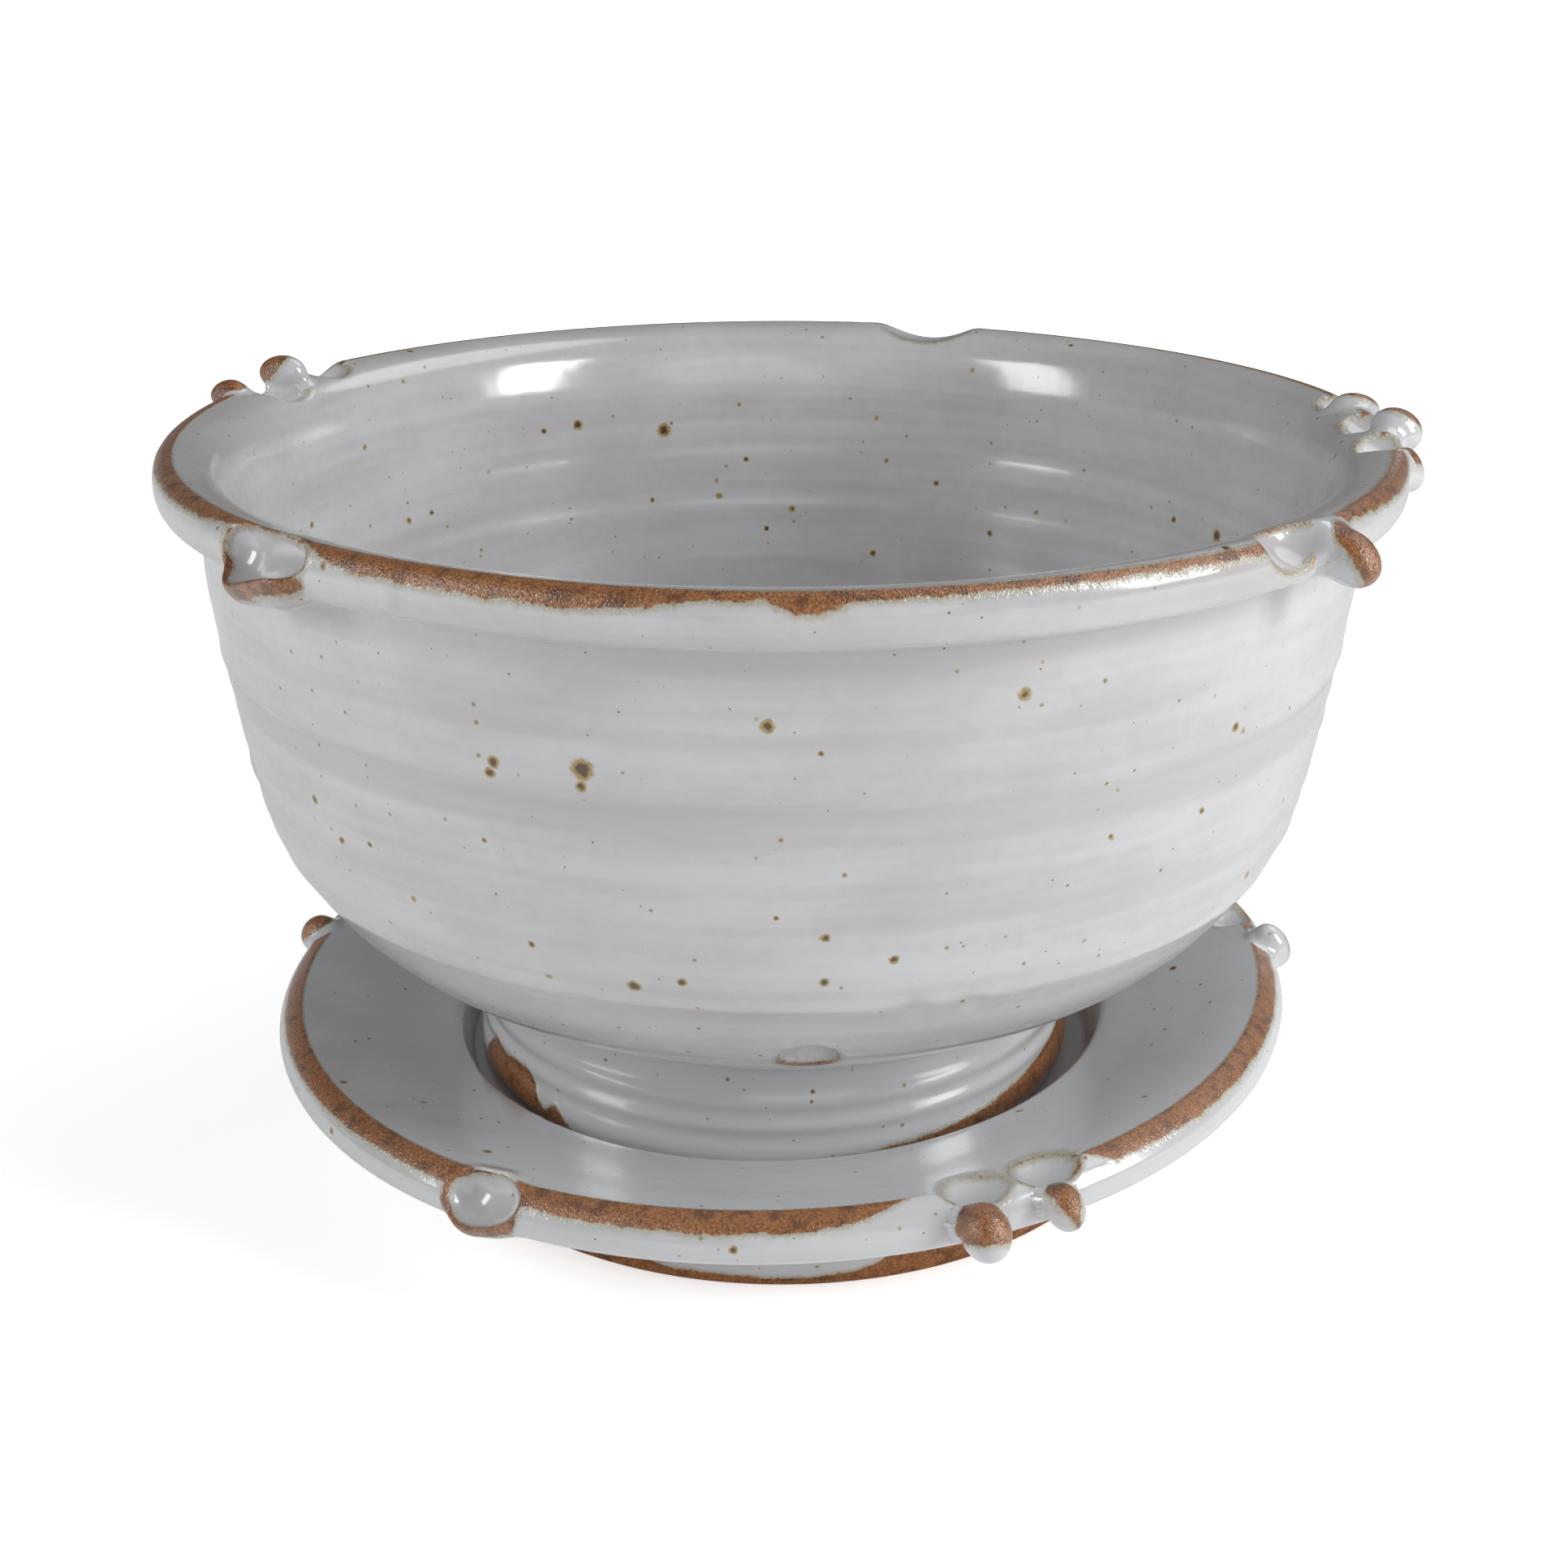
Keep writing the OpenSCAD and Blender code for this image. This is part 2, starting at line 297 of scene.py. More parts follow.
outerWall = smoothLine([(bowl["baseRadius"] + s * (bowl["neckRadius"] - bowl["baseRadius"]),
                         bowl["joinZ"] + t * (neckZ - bowl["joinZ"])) for s, t in bowl["wallShares"]])
innerWall = beside(outerWall, bowl["wall"])[::-1]
rimRound = smoothLine([(bowl["neckRadius"] + s * bowl["rimProud"], bandZ + t * bowl["bandHeight"])
                       for s, t in bowl["rimShares"]])
floorZ = innerWall[-1][1]

drains = {
    "size": 8.5, "ring": 68, "count": 12, "start": 271, "lip": 1.0, "below": 60,
    "floorSize": 8, "floorRing": 26, "floorCount": 6, "floorLip": 0.8,
    # how far past a hole's lip its edge is looked for and the clay is smoothed, how near to a face a point
    # counts as on it, and the turns of the lip's rings
    "edgeNear": 3, "smoothNear": 4, "faceNear": 2, "smoothRounds": 4, "lipTurns": (25, 50, 75, 90),
    "turns": [2, -5, -2, 3, -1, 2, -3, 1, 3, -2, 1, -2],
    "outShares": [1, -0.2, 0.1, -0.1, 0.3, 0.1, -0.1, 0.2, -0.05, 0.35, 0, -0.4],
}
wallDrains = [around(drains["start"] + i * 360 / drains["count"] + turn,
                     drains["ring"] + out * drains["size"], 0)
              for i, (turn, out) in enumerate(zip(drains["turns"], drains["outShares"]))]
floorDrains = [around(i * 360 / drains["floorCount"], drains["floorRing"], 0)
               for i in range(drains["floorCount"])]


def boreLip(r, z, lip, up):
    # the rounded edge of a bore, from the bore's wall out to the face
    return [(r + lip * (1 - math.cos(math.radians(a))), z - up * lip * (1 - math.sin(math.radians(a))))
            for a in (0, 30, 60, 90)]


bore = drains["floorSize"] / 2
bowlOutline = np.vstack([
    boreLip(bore, bowl["joinZ"], drains["floorLip"], -1), outerWall, rimRound, innerWall,
    boreLip(bore, floorZ, drains["floorLip"], 1)[::-1], [(bore, bowl["joinZ"] + drains["floorLip"])]])


def bowlSpacing(r, z):
    # closer rows at the floor's holes, the line round the wall, the rim and the crease under it
    rows = bowl["rows"]
    space = np.where(r < innerWall[-1][0] - 1, rows["floor"], np.where(r < 90.5, rows["wall"], rows["rim"]))
    space = np.where(np.abs(r - drains["floorRing"]) < drains["floorSize"] * 0.8, rows["floorHoles"], space)
    space = np.where((z > 88) & (z < 97) & (r > 91), rows["line"], space)
    space = np.where((z > 114) & (r > 91.5), rows["roll"], space)
    inCrease = (np.abs(z - bandZ) < 1.6) & (r > bowl["neckRadius"] - bowl["wall"] / 2)
    return np.where(r < bore + 2, rows["bore"], np.where(inCrease, rows["crease"], space))


# Thumb prints in the rims: azimuth, share outwards, size share and depth share of each
prints = {
    "thumb": 9, "depth": 3.8, "softness": 1.3, "scoopSoftness": 0.7, "lipJoin": 2.2, "lipGrowth": 3,
    # the long prints at the front left and the clay they pushed out: azimuths, radius, heights, thickness
    # and taper, and how far out and up a print comes from
    "bowlScoop": ((223.4, 230.1), 103.4, (123.9, 125.7), 4.6, 0.34),
    "bowlLip": ((223.8, 228.6), 100.9, (120.6, 121.6), 4.7),
    "plateScoop": ((238.9, 241.4), 90.9, (26.4, 27.4), 4.9, 0.06),
    "plateLip": ((238.8, 240.8), 88.6, (23.4, 24.2), 4.9),
    "away": (3.4, 2.6),
    # a run of glaze on the outside of the rim
    "drip": ((240.3, 240.2), 101.4, (124.6, 121.8), 1.0), "dripJoin": 1.2,
    # how near to a print the faces are finer, and how near the clay is pressed
    "fineNear": 3.0, "plateFineNear": 3.4, "dripFineNear": 1.6,
    "pressNear": 2.6, "lipNear": 3, "dripNear": 1.4,
    "bowl": [(314, 1, 0.9, 1.1), (351, -0.6, 0.75, 0.8), (359.5, -0.6, 0.75, 0.8),
             (8.5, -0.4, 0.7, 0.75), (72, -0.2, 1.7, 0.75), (151.5, -0.5, 0.7, 0.7), (161, -0.8, 0.9, 0.75)],
    "plate": [(290, -0.3, 0.8, 0.8), (298, -0.4, 0.8, 0.8), (7.5, -0.3, 0.8, 0.8)],
}


def thumbBalls(rows, crest, back):
    # "back" is the share of the way that each still has to go into the clay
    balls = []
    for azimuth, away, big, deep in rows:
        radius = prints["thumb"] * big
        reach = radius - prints["depth"] * deep * (1 - back)
        length = math.hypot(away, 1)
        centre = around(azimuth, crest[0] + away / length * reach, crest[1] + reach / length)
        balls.append(((centre, centre), radius))
    return balls


def bar(turns, r, heights, radius, taper=0.0, back=0.0):
    out, up = (step * back for step in prints["away"])
    return tuple(around(turn, r + out, z + up) for turn, z in zip(turns, heights)), radius, taper


def bowlPrintsAt(share):
    return [bar(*prints["bowlScoop"], 1 - share)] + thumbBalls(prints["bowl"], rimCrest, 1 - share)


bowlPrints = bowlPrintsAt(1)
bowlLip = bar(*prints["bowlLip"])
bowlDrip = bar(*prints["drip"])
rimForm = outlineForm(spaced(
    np.vstack([outerWall[outerWall[:, 1] > 95], rimRound, innerWall[innerWall[:, 1] > 95]]), evenly(0.7)))


def withLip(form, lip):
    # a rim with the clay that was pushed out, before the prints
    def clay(p, share=1.0):
        growing = barDistance(p, *lip) + (1 - share) * prints["lipGrowth"]
        return softJoin(form(p), growing, prints["lipJoin"])

    return clay


rimOnly = withLip(rimForm, bowlLip)


def dripped(p, share=1.0):
    return softJoin(rimForm(p), barDistance(p, *bowlDrip) + (1 - share), prints["dripJoin"])


def pressed(d, p, balls):
    for i, ball in enumerate(balls):
        d = softCut(d, barDistance(p, *ball), prints["softness"] if i else prints["scoopSoftness"])
    return d


def bowlClay(p, share=1.0):
    return pressed(rimOnly(p), p, bowlPrintsAt(share))


# Iron shows where the glaze is thin: a line along the outer side of the rim's crest, starting at "start"
# degrees round the rim's roll, its width by azimuth, and the worn edges of the prints with their widths
bowlIron = {
    "roll": (97.8, 122.5), "rollRadius": 4.55, "start": 74,
    # how far outwards of that the line starts, by azimuth: the white bead inside it
    "bead": [(200, 0), (246, 0), (254, 0.4), (262, 0.7), (272, 0.8), (285, 1.0), (298, 1.3), (309, 1.6),
             (318, 1.3), (326, 0.3), (340, 0)],
    "widths": [(0, 1.2), (12, 0.9), (30, 0.5), (60, 0.3), (90, 0.2), (120, 0.3), (145, 0.4), (165, 1.2),
               (172, 2.0), (180, 2.7), (200, 3.0), (214, 2.7), (221, 1.8), (223.5, 0.5), (229.5, 0.4),
               (232, 2.0), (236, 3.5), (248, 3.7), (256, 3.6), (261, 2.7), (264, 1.7), (269, 1.5), (271, 3.3),
               (273, 3.1), (275, 1.6), (282, 1.4), (290, 1.3), (297, 1.1), (304, 1.3), (309, 1.4), (321, 1.5),
               (328, 2.7), (337, 3.2), (346, 2.6), (353, 1.0)],
    # iron outside and inside the edge of each print
    "edges": [(0.35, 0.35), (0.35, 0.4), (0.3, 0.3), (0.3, 0.3), (0.25, 0.3), (0.1, 0.1), (0.1, 0.2),
              (0.0, 0.2)],
    "lipBand": 2.3, "bandTop": -1.0,
    # the edges of the drain holes: iron all round, more on the lower side, and how deep it goes into a hole
    "holeEdge": 0.1, "holeLow": 0.45, "holeOut": 0.35, "holeDeep": 0.5,
}
plateIron = {
    "roll": (87.0, 23.9), "rollRadius": 4.25, "start": 93, "bead": [(0, 0)],
    "widths": [(0, 2.4), (30, 2.4), (90, 2.2), (150, 2.6), (180, 3.6), (210, 3.8), (238, 3.8), (250, 4.2),
               (272, 4.2), (277, 3.2), (280, 1.8), (282.5, 0.2), (284, -1.2), (296, -1.2), (302, -0.4),
               (305, 3.4), (318, 3.9), (340, 3.9), (352, 3.2)],
    "edges": [(0.6, 0.7), (0.0, 0.4), (0.2, 0.5), (0.5, 0.6)],
    "lipBand": 1.9, "bandTop": -1.0,
}
# How the iron ends: the value where there is none, and how fast it fades across each kind of edge
wear = {"none": -6.0, "most": 4, "zone": 5, "inner": 2.2, "cutDeep": 0.3, "cutFade": 3,
        "bandDeep": 0.35, "bandFade": 4, "lowFade": 1.5, "lipGap": 0.8, "lipFade": 2}
noEdge = 3.0


def rollTurn(p, iron):
    # how far a point lies along the roll of the rim, outwards and down from where the line starts
    azimuth, r = polar(p)
    turn = np.degrees(np.arctan2(p[:, 2] - iron["roll"][1], r - iron["roll"][0]))
    along = np.radians(iron["start"] - turn) * iron["rollRadius"]
    return azimuth, along - alongTurn(azimuth, iron["bead"])


def ironMarks(iron, balls, rim, lip):
    def lineReach(p):
        # how far inside the line's outer edge a point lies, ending where a print cuts the rim
        azimuth, along = rollTurn(p, iron)
        reach = np.minimum(alongTurn(azimuth, iron["widths"]) - along, 2 * along + 2)
        cut = np.clip(-rim(p) - wear["cutDeep"], 0, wear["most"])
        return np.clip(reach, wear["none"], wear["most"]) - cut * wear["cutFade"]

    def edgeReach(p):
        # worn edges: iron outside and inside each print's edge, and a band below the long print
        depth = np.maximum(-rim(p), 0)
        reach = np.full(len(p), wear["none"])
        for ball, (outside, inside) in zip(balls, iron["edges"]):
            away = barDistance(p, *ball)
            edge = np.minimum(outside - away, inside - depth)
            reach = np.maximum(reach, np.where(np.abs(away) < wear["zone"], edge, wear["none"]))
        away = barDistance(p, *balls[0])
        above = np.maximum(0, p[:, 2] - lip[0][0][2] + iron["bandTop"])
        deep = np.maximum(0, depth - wear["bandDeep"])
        apart = np.maximum(0, barDistance(p, *lip) - wear["lipGap"])
        return np.maximum(reach, iron["lipBand"] - away - deep * wear["bandFade"] - above * wear["lowFade"]
                          - apart * wear["lipFade"])

    def inner(p):
        # how far outside the line's inner edge; a worn edge has no inner side of its own
        along = np.clip(wear["inner"] * rollTurn(p, iron)[1], -noEdge, noEdge)
        return np.where(edgeReach(p) > lineReach(p), noEdge, along)

    return {"ironInner": inner, "ironOuter": lambda p: np.maximum(lineReach(p), edgeReach(p))}


def noInner(p):
    return np.full(len(p), noEdge)


def nearBalls(p, balls, margin):
    return np.any([barDistance(p, *ball) < margin for ball in balls], axis=0)


def pressPrints(bm, rim, clay, balls, lip, onRim):
    # first the clay that was pushed out, then the prints
    pressInto(bm, rim, lambda p: nearBalls(p, [lip], prints["lipNear"]) & onRim(p))
    pressInto(bm, clay, lambda p: nearBalls(p, balls + [lip], prints["pressNear"]) & onRim(p))


def drill(bm, centre, radius, lip):
    # a bore through the wall with rounded lips
    x, y = centre[0], centre[1]
    reach = radius + lip

    def away(v):
        return math.hypot(v.co.x - x, v.co.y - y)

    def turnOf(v):
        return math.atan2(v.co.y - y, v.co.x - x)

    tagged = {v for v in bm.verts if away(v) < reach}
    faces = {f for v in tagged for f in v.link_faces if all(w in tagged for w in f.verts)}
    bmesh.ops.delete(bm, geom=list(faces), context="FACES")
    openVerts = [v for v in bm.verts if away(v) < reach + drains["edgeNear"] and v.is_boundary]
    rings = []
    for line, up in ((topLine, 1), (underLine, -1)):
        def heightAt(px, py):
            return np.interp(math.hypot(px, py), *line)

        def onFace(v):
            return abs(v.co.z - heightAt(v.co.x, v.co.y)) < drains["faceNear"]

        def place(v, turn, out, down=0.0):
            px, py = x + out * math.cos(turn), y + out * math.sin(turn)
            v.co = (px, py, heightAt(px, py) - up * down)

        # an even round edge, with the faces round it smoothed along the wall
        own = sorted((v for v in openVerts if onFace(v)), key=turnOf)
        first = turnOf(own[0])
        for i, v in enumerate(own):
            place(v, first + i * math.tau / len(own), reach)
        members = set(own)
        nearby = [v for v in bm.verts
                  if away(v) < reach + drains["smoothNear"] and v not in members and onFace(v)]
        for _ in range(drains["smoothRounds"]):
            smoothed(bm, nearby)
            for v in nearby:
                v.co.z = heightAt(v.co.x, v.co.y)
        edges = list(dict.fromkeys(e for v in own for e in v.link_edges if e.is_boundary))
        for turn in drains["lipTurns"]:
            made = bmesh.ops.extrude_edge_only(bm, edges=edges)["geom"]
            edges = [g for g in made if isinstance(g, bmesh.types.BMEdge)]
            for v in (g for g in made if isinstance(g, bmesh.types.BMVert)):
                place(v, turnOf(v), radius + lip * (1 - math.sin(math.radians(turn))),
                      lip * (1 - math.cos(math.radians(turn))))
        rings += edges
    bmesh.ops.bridge_loops(bm, edges=rings)


# The height of the bowl's two faces by radius
topLine = (np.append(0, innerWall[::-1, 0]), np.append(floorZ, innerWall[::-1, 1]))
underLine = (np.append(0, outerWall[:, 0]), np.append(bowl["joinZ"], outerWall[:, 1]))

# The marks of throwing in the wall: sines, and lines with their height, depth and width
throwing = {
    "from": 39, "climb": 2.4,
    "inside": [(0.20, 1.17, 0), (0.10, 0.61, 1), (0.06, 2.3, 0)],
    "insideShares": ([40, 52, 104, 113], [0, 1, 1, 0]),
    "outside": [(0.09, 1.31, 0.6), (0.07, 0.83, 0), (0.05, 2.1, 2)],
    "outsideShares": ([40, 50, 86, 96], [0.4, 1, 1, 0.35]),
    # the line round the wall, the clay raised above it, the second line, and the crease under the rim
    "groove": (-0.9, 0.42, 0.75), "ridge": (1.2, 0.3, 1.3), "second": (-4, 0.3, 0.8), "crease": (0.28, 0.62),
    # where the glaze lies thin, with painted shade darkening the same grooves: along both lines, in the
    # crease and at the neck
    "lineThinAndShade": (-1.6, 0.3, 1.4), "secondThinAndShade": (-4.5, 0.16, 1.2), "creaseThinAndShade": (1.0, 0.6),
    "neckThinAndShade": (0.15, 1.6),
}
# The small unevenness of hand work: sines round the bowl, sideways and up, and how much all of it shrinks
unevenness = {
    "out": [(0.16, 2, 0.4), (0.10, 3, 2), (0.05, 7, 0)], "lift": [(0.10, 2, 1.9), (0.06, 5, 0.3)],
    "shrink": 0.18, "shares": ([33, 60, 127], [0, 0.4, 1]),
}


def middleOfWall(z):
    return np.interp(z, outerWall[:, 1], outerWall[:, 0]) - bowl["wall"] / 2


def throwingRings(p):
    # the marks of the fingers, which wind slowly upwards round the wall
    azimuth, r = polar(p)
    z = p[:, 2] + azimuth / 360 * throwing["climb"]
    share = np.interp(p[:, 2], *throwing["insideShares"])
    inside = waves(z, throwing["inside"])
    outside = waves(z, throwing["outside"]) * np.interp(p[:, 2], *throwing["outsideShares"])
    above = p[:, 2] - alongTurn(azimuth, bowl["lineHeights"])
    second = hump(above, *throwing["second"]) * alongTurn(azimuth, bowl["secondLine"])
    groove = hump(above, *throwing["groove"]) - hump(above, *throwing["ridge"]) + second
    crease = hump(p[:, 2], bandZ, *throwing["crease"]) * ~nearBalls(p, [bowlLip], 1.0)
    push = np.where(r < middleOfWall(p[:, 2]), inside * share, outside * share - groove - crease)
    push = np.where(p[:, 2] < throwing["from"], 0, push)
    return p + np.column_stack([p[:, 0] / r, p[:, 1] / r, 0 * r]) * push[:, None]


def bowlBend(p):
    # alike for every piece of the bowl
    azimuth, r = polar(p)
    share = np.interp(p[:, 2], *unevenness["shares"])
    out = (waves(np.radians(azimuth), unevenness["out"]) - unevenness["shrink"]) * share
    lift = (waves(np.radians(azimuth), unevenness["lift"]) - unevenness["shrink"]) * share
    r = np.maximum(r, 1e-6)
    return p + np.column_stack([p[:, 0] / r * out, p[:, 1] / r * out, lift])


def drainIron(p):
    # the drain holes' edges are worn too, most on their lower side
    r = np.hypot(p[:, 0], p[:, 1])
    buried = np.minimum(p[:, 2] - np.interp(r, *underLine), np.interp(r, *topLine) - p[:, 2])
    buried = np.maximum(0, buried - bowlIron["holeDeep"]) * 2
    reach = np.full(len(p), -np.inf)
    for centre in wallDrains:
        azimuth = math.atan2(centre[1], centre[0])
        dx, dy = p[:, 0] - centre[0], p[:, 1] - centre[1]
        away = np.hypot(dx, dy)
        low = -(dx * math.cos(azimuth) + dy * math.sin(azimuth)) / np.maximum(away, 0.1)
        fromEdge = np.abs(away - drains["size"] / 2 - bowlIron["holeOut"])
        edge = bowlIron["holeEdge"] + bowlIron["holeLow"] * low - fromEdge - buried
        near = (p[:, 2] < drains["below"]) & (away < drains["size"] + 0.5)
        reach = np.where(near, np.maximum(reach, edge), reach)
    return reach


# mauve grey where the glaze lies thin, and painted shade in the grooves: along both lines round the wall, in
# the crease under the rim and at the neck
def thinGlazeAndShade(p):
    azimuth, r = polar(p)
    above = p[:, 2] - alongTurn(azimuth, bowl["lineHeights"])
    wall = hump(above, *throwing["lineThinAndShade"]) + hump(above, *throwing["secondThinAndShade"])
    crease = hump(p[:, 2], bandZ, *throwing["creaseThinAndShade"]) + hump(p[:, 2], neckZ, *throwing["neckThinAndShade"])
    return (wall + crease) * (r > middleOfWall(p[:, 2]))


def makeBowl():
    bm = thrown(spaced(np.vstack([bowlOutline, bowlOutline[:1]]), bowlSpacing)[:-1], bowl["steps"])

    # finer faces at the prints and the drain holes
    fine, holeRadius = prints["fineNear"], drains["size"] / 2
    smallPrints = [ball for ball in bowlPrints[1:] if ball[1] < prints["thumb"] * 1.2]
    refine(bm, lambda p: nearBalls(p, bowlPrints[:1], fine), 3)
    refine(bm, lambda p: nearBalls(p, smallPrints, fine), 2)
    refine(bm, lambda p: nearBalls(p, bowlPrints[1:], fine) & ~nearBalls(p, smallPrints, fine), 1)
    refine(bm, lambda p: (p[:, 2] < drains["below"] + 2) & np.any(
        [np.hypot(p[:, 0] - c[0], p[:, 1] - c[1]) < holeRadius + 3 for c in wallDrains], axis=0), 1)

    # the prints, the clay they pushed out and the run of glaze
    pressPrints(bm, rimOnly, bowlClay, bowlPrints, bowlLip, lambda p: p[:, 2] > bowl["pressFrom"])
    refine(bm, lambda p: nearBalls(p, [bowlDrip], prints["dripFineNear"]), 2)
    pressInto(bm, dripped, lambda p: nearBalls(p, [bowlDrip], prints["dripNear"]), 2, 1)
    for centre in wallDrains:
        drill(bm, centre, holeRadius, drains["lip"])
    for centre in floorDrains:
        drill(bm, centre, drains["floorSize"] / 2, drains["floorLip"])

    # the glaze rounds the corner under the rim
    corner = [v for v in bm.verts if abs(v.co.z - bandZ) < bowl["cornerReach"]
              and math.hypot(v.co.x, v.co.y) > bowl["neckRadius"]]
    for _ in range(bowl["cornerRounds"]):
        smoothed(bm, corner)
    bmesh.ops.recalc_face_normals(bm, faces=bm.faces)
    putBack(bm.verts, throwingRings(placesOf(bm.verts)))

    rim = ironMarks(bowlIron, bowlPrints, rimOnly, bowlLip)
    marks = {
        "ironInner": lambda p: np.where(p[:, 2] < drains["below"], noEdge, rim["ironInner"](p)),
        "ironOuter": lambda p: np.maximum(rim["ironOuter"](p), drainIron(p)),
        "thin": thinGlazeAndShade,
    }
    finished("colanderBowl", "colander_bowl", bm, "bowl", marks, bowlBend)


makeBowl()


# The bowl's foot

foot = {
    "radius": 54.2, "width": 7.8, "waist": 1.6, "off": 1.5, "steps": 240, "bareInside": (50, 4),
    "shares": [(0.9, 1), (1.1, 0.92), (1, 0.78), (0.6, 0.68), (0.75, 0.56), (0.4, 0.46), (0.5, 0.36),
               (0.1, 0.25), (0, 0.14), (0.4, 0.05), (1.4, 0)],
    # how high the bare clay shows above the foot's bottom, by azimuth
    "bare": [(0, 10), (20, 6), (60, 2), (120, 1), (170, 1), (196, 1.5), (200, 7), (204, 9.5), (207, 7.5),
             (212, 8.5), (217, 9), (220, 6), (222, 3), (226, 5.5), (229, 2.2), (233, 0.6), (240, 0), (266, 0),
             (270, 2.0), (276, 3.4), (284, 3.3), (290, 4.0), (300, 4.6), (312, 5.6), (325, 6.8), (340, 9.5),
             (350, 11)],
}


def bareClay(look, base):
    # the glaze ends above the foot's bottom; inside a radius, bare clay shows higher
    def reach(p):
        azimuth, r = polar(p)
        radius, higher = look["bareInside"]
        return alongTurn(azimuth, look["bare"]) - (p[:, 2] - base) + np.where(r < radius, higher, 0)

    return {"ironInner": noInner, "ironOuter": reach}


def makeFoot():
    base, top = footLow[2], footHigh[2]
    outer = smoothLine([(foot["radius"] - s * foot["waist"], base + t * (top - base))
                        for s, t in foot["shares"]])
    inner = [(foot["radius"] - foot["width"] + foot["waist"] / 2, base),
             (foot["radius"] - foot["width"], base + foot["waist"] / 2), (outer[0][0] - foot["width"], top)]
    outline = np.vstack([outer, smoothLine(inner, 3), outer[:1]])
    bm = thrown(spaced(outline, lambda r, z: np.where(r > 50, 0.6, 1.8))[:-1], foot["steps"])
    bmesh.ops.translate(bm, verts=bm.verts, vec=(-foot["off"], 0, 0))
    finished("bowlFoot", "bowl_foot_ring", bm, "bowl", bareClay(foot, base), bowlBend)


makeFoot()


# The plate

plate = {
    "height": 28.2, "radius": 91.2, "edge": 8.6, "floor": 6, "splay": 3.1, "lip": 7.4, "slack": 1.6,
    "lean": 1.8, "footHeight": boxOf("plate_foot_ring")[1][2], "land": 68.4, "steps": 360, "pressFrom": 70,
    "underShares": [(1, 0), (0.8, -0.04), (0.6, -0.14), (0.4, -0.34), (0.2, -0.66), (0.04, -0.88),
                    (-0.1, -1)],
    "rows": {"middle": 6.0, "flange": 1.9, "well": 0.8, "roll": 0.8},
}
wellZ = footLow[2]
plateCrest = (plate["radius"] - plate["edge"] / 2, plate["height"])
wellFoot = foot["radius"] + foot["off"] + plate["slack"]
wellLip = wellFoot + plate["splay"]
lipZ = wellZ + plate["lip"]
edgeZ = plate["height"] - plate["edge"]
half = plate["edge"] / 2

plateTop = smoothLine([
    (wellFoot - 1.2, wellZ), (wellFoot, wellZ + 0.5),
    (wellFoot + plate["splay"] * 0.35, wellZ + plate["lip"] * 0.55),
    (wellFoot + plate["splay"] * 0.6, lipZ - plate["lip"] * 0.12), (wellLip, lipZ),
    (wellLip + (plateCrest[0] - wellLip) * 0.25, lipZ + (plate["height"] - lipZ) * 0.24),
    (wellLip + (plateCrest[0] - wellLip) * 0.75, lipZ + (plate["height"] - lipZ) * 0.76), plateCrest])
plateEdge = smoothLine([
    plateCrest, (plateCrest[0] + half * 0.55, plate["height"] - plate["edge"] * 0.12),
    (plate["radius"] - half * 0.08, plate["height"] - plate["edge"] * 0.33),
    (plate["radius"], plate["height"] - plate["edge"] * 0.55),
    (plate["radius"] - half * 0.2, plate["height"] - plate["edge"] * 0.82),
    (plate["radius"] - half * 0.8, edgeZ)])
rootZ = plate["footHeight"] + plate["floor"] / 2
plateUnder = smoothLine([(plate["land"] + s * (plate["radius"] - half * 0.8 - plate["land"]),
                          edgeZ + t * (edgeZ - rootZ)) for s, t in plate["underShares"]])
plateOutline = np.vstack([
    [(0, wellZ)], plateTop, plateEdge[1:], plateUnder[1:-4],
    [(plate["land"], rootZ), (plate["land"], plate["footHeight"]), (0, plate["footHeight"])]])


def platePrintsAt(share):
    return [bar(*prints["plateScoop"], 1 - share)] + thumbBalls(prints["plate"], plateCrest, 1 - share)


platePrints = platePrintsAt(1)
plateLip = bar(*prints["plateLip"])
plateForm = outlineForm(spaced(
    np.vstack([plateTop[plateTop[:, 0] > plate["pressFrom"]], plateEdge[1:],
               plateUnder[plateUnder[:, 0] > plate["pressFrom"]]]), evenly(0.7)))
flangeOnly = withLip(plateForm, plateLip)


def plateClay(p, share=1.0):
    return pressed(flangeOnly(p), p, platePrintsAt(share))


def plateSpacing(r, z):
    rows = plate["rows"]
    space = np.where((r < 62) & (z > wellZ - 1), rows["well"], rows["flange"])
    space = np.where(r < 54, rows["middle"], space)
    return np.where((r > plateCrest[0] - 5) & (z > edgeZ - 1), rows["roll"], space)


def leaned(p):
    # the flange leans up to the right, about the middle of the well's floor
    _, r = polar(p)
    share = np.clip((r - wellFoot + 1) / 2, 0, 1) * np.clip((p[:, 2] - plate["footHeight"] - 1) / 3, 0, 1)
    lean = np.radians(plate["lean"]) * share
    x, z = p[:, 0], p[:, 2] - wellZ
    return np.column_stack([x * np.cos(lean) - z * np.sin(lean), p[:, 1],
                            wellZ + x * np.sin(lean) + z * np.cos(lean)])


def makePlate():
    bm = thrown(spaced(plateOutline, plateSpacing), plate["steps"], closed=False)
    refine(bm, lambda p: nearBalls(p, platePrints, prints["plateFineNear"]), 2)
    pressPrints(bm, flangeOnly, plateClay, platePrints, plateLip, lambda p: polar(p)[1] > plate["pressFrom"])
    bmesh.ops.recalc_face_normals(bm, faces=bm.faces)
    marks = ironMarks(plateIron, platePrints, flangeOnly, plateLip)
    finished("dripPlate", "drip_plate", bm, "plate", marks, leaned)


makePlate()


# The plate's foot

plateFoot = {
    "radius": 66.2, "flare": 2.2, "width": 8.5, "round": 0.9, "steps": 240, "bareInside": (64.5, 5),
    # how high the bare clay shows above the table, by azimuth
    "bare": [(0, 9), (90, 6), (180, 7), (235, 9), (244, 8), (250, 4), (255, 2.6), (262, 2.4), (268, 2.0),
             (275, 2.2), (280, 2.8), (284, 5), (287, 9), (300, 9)],
}


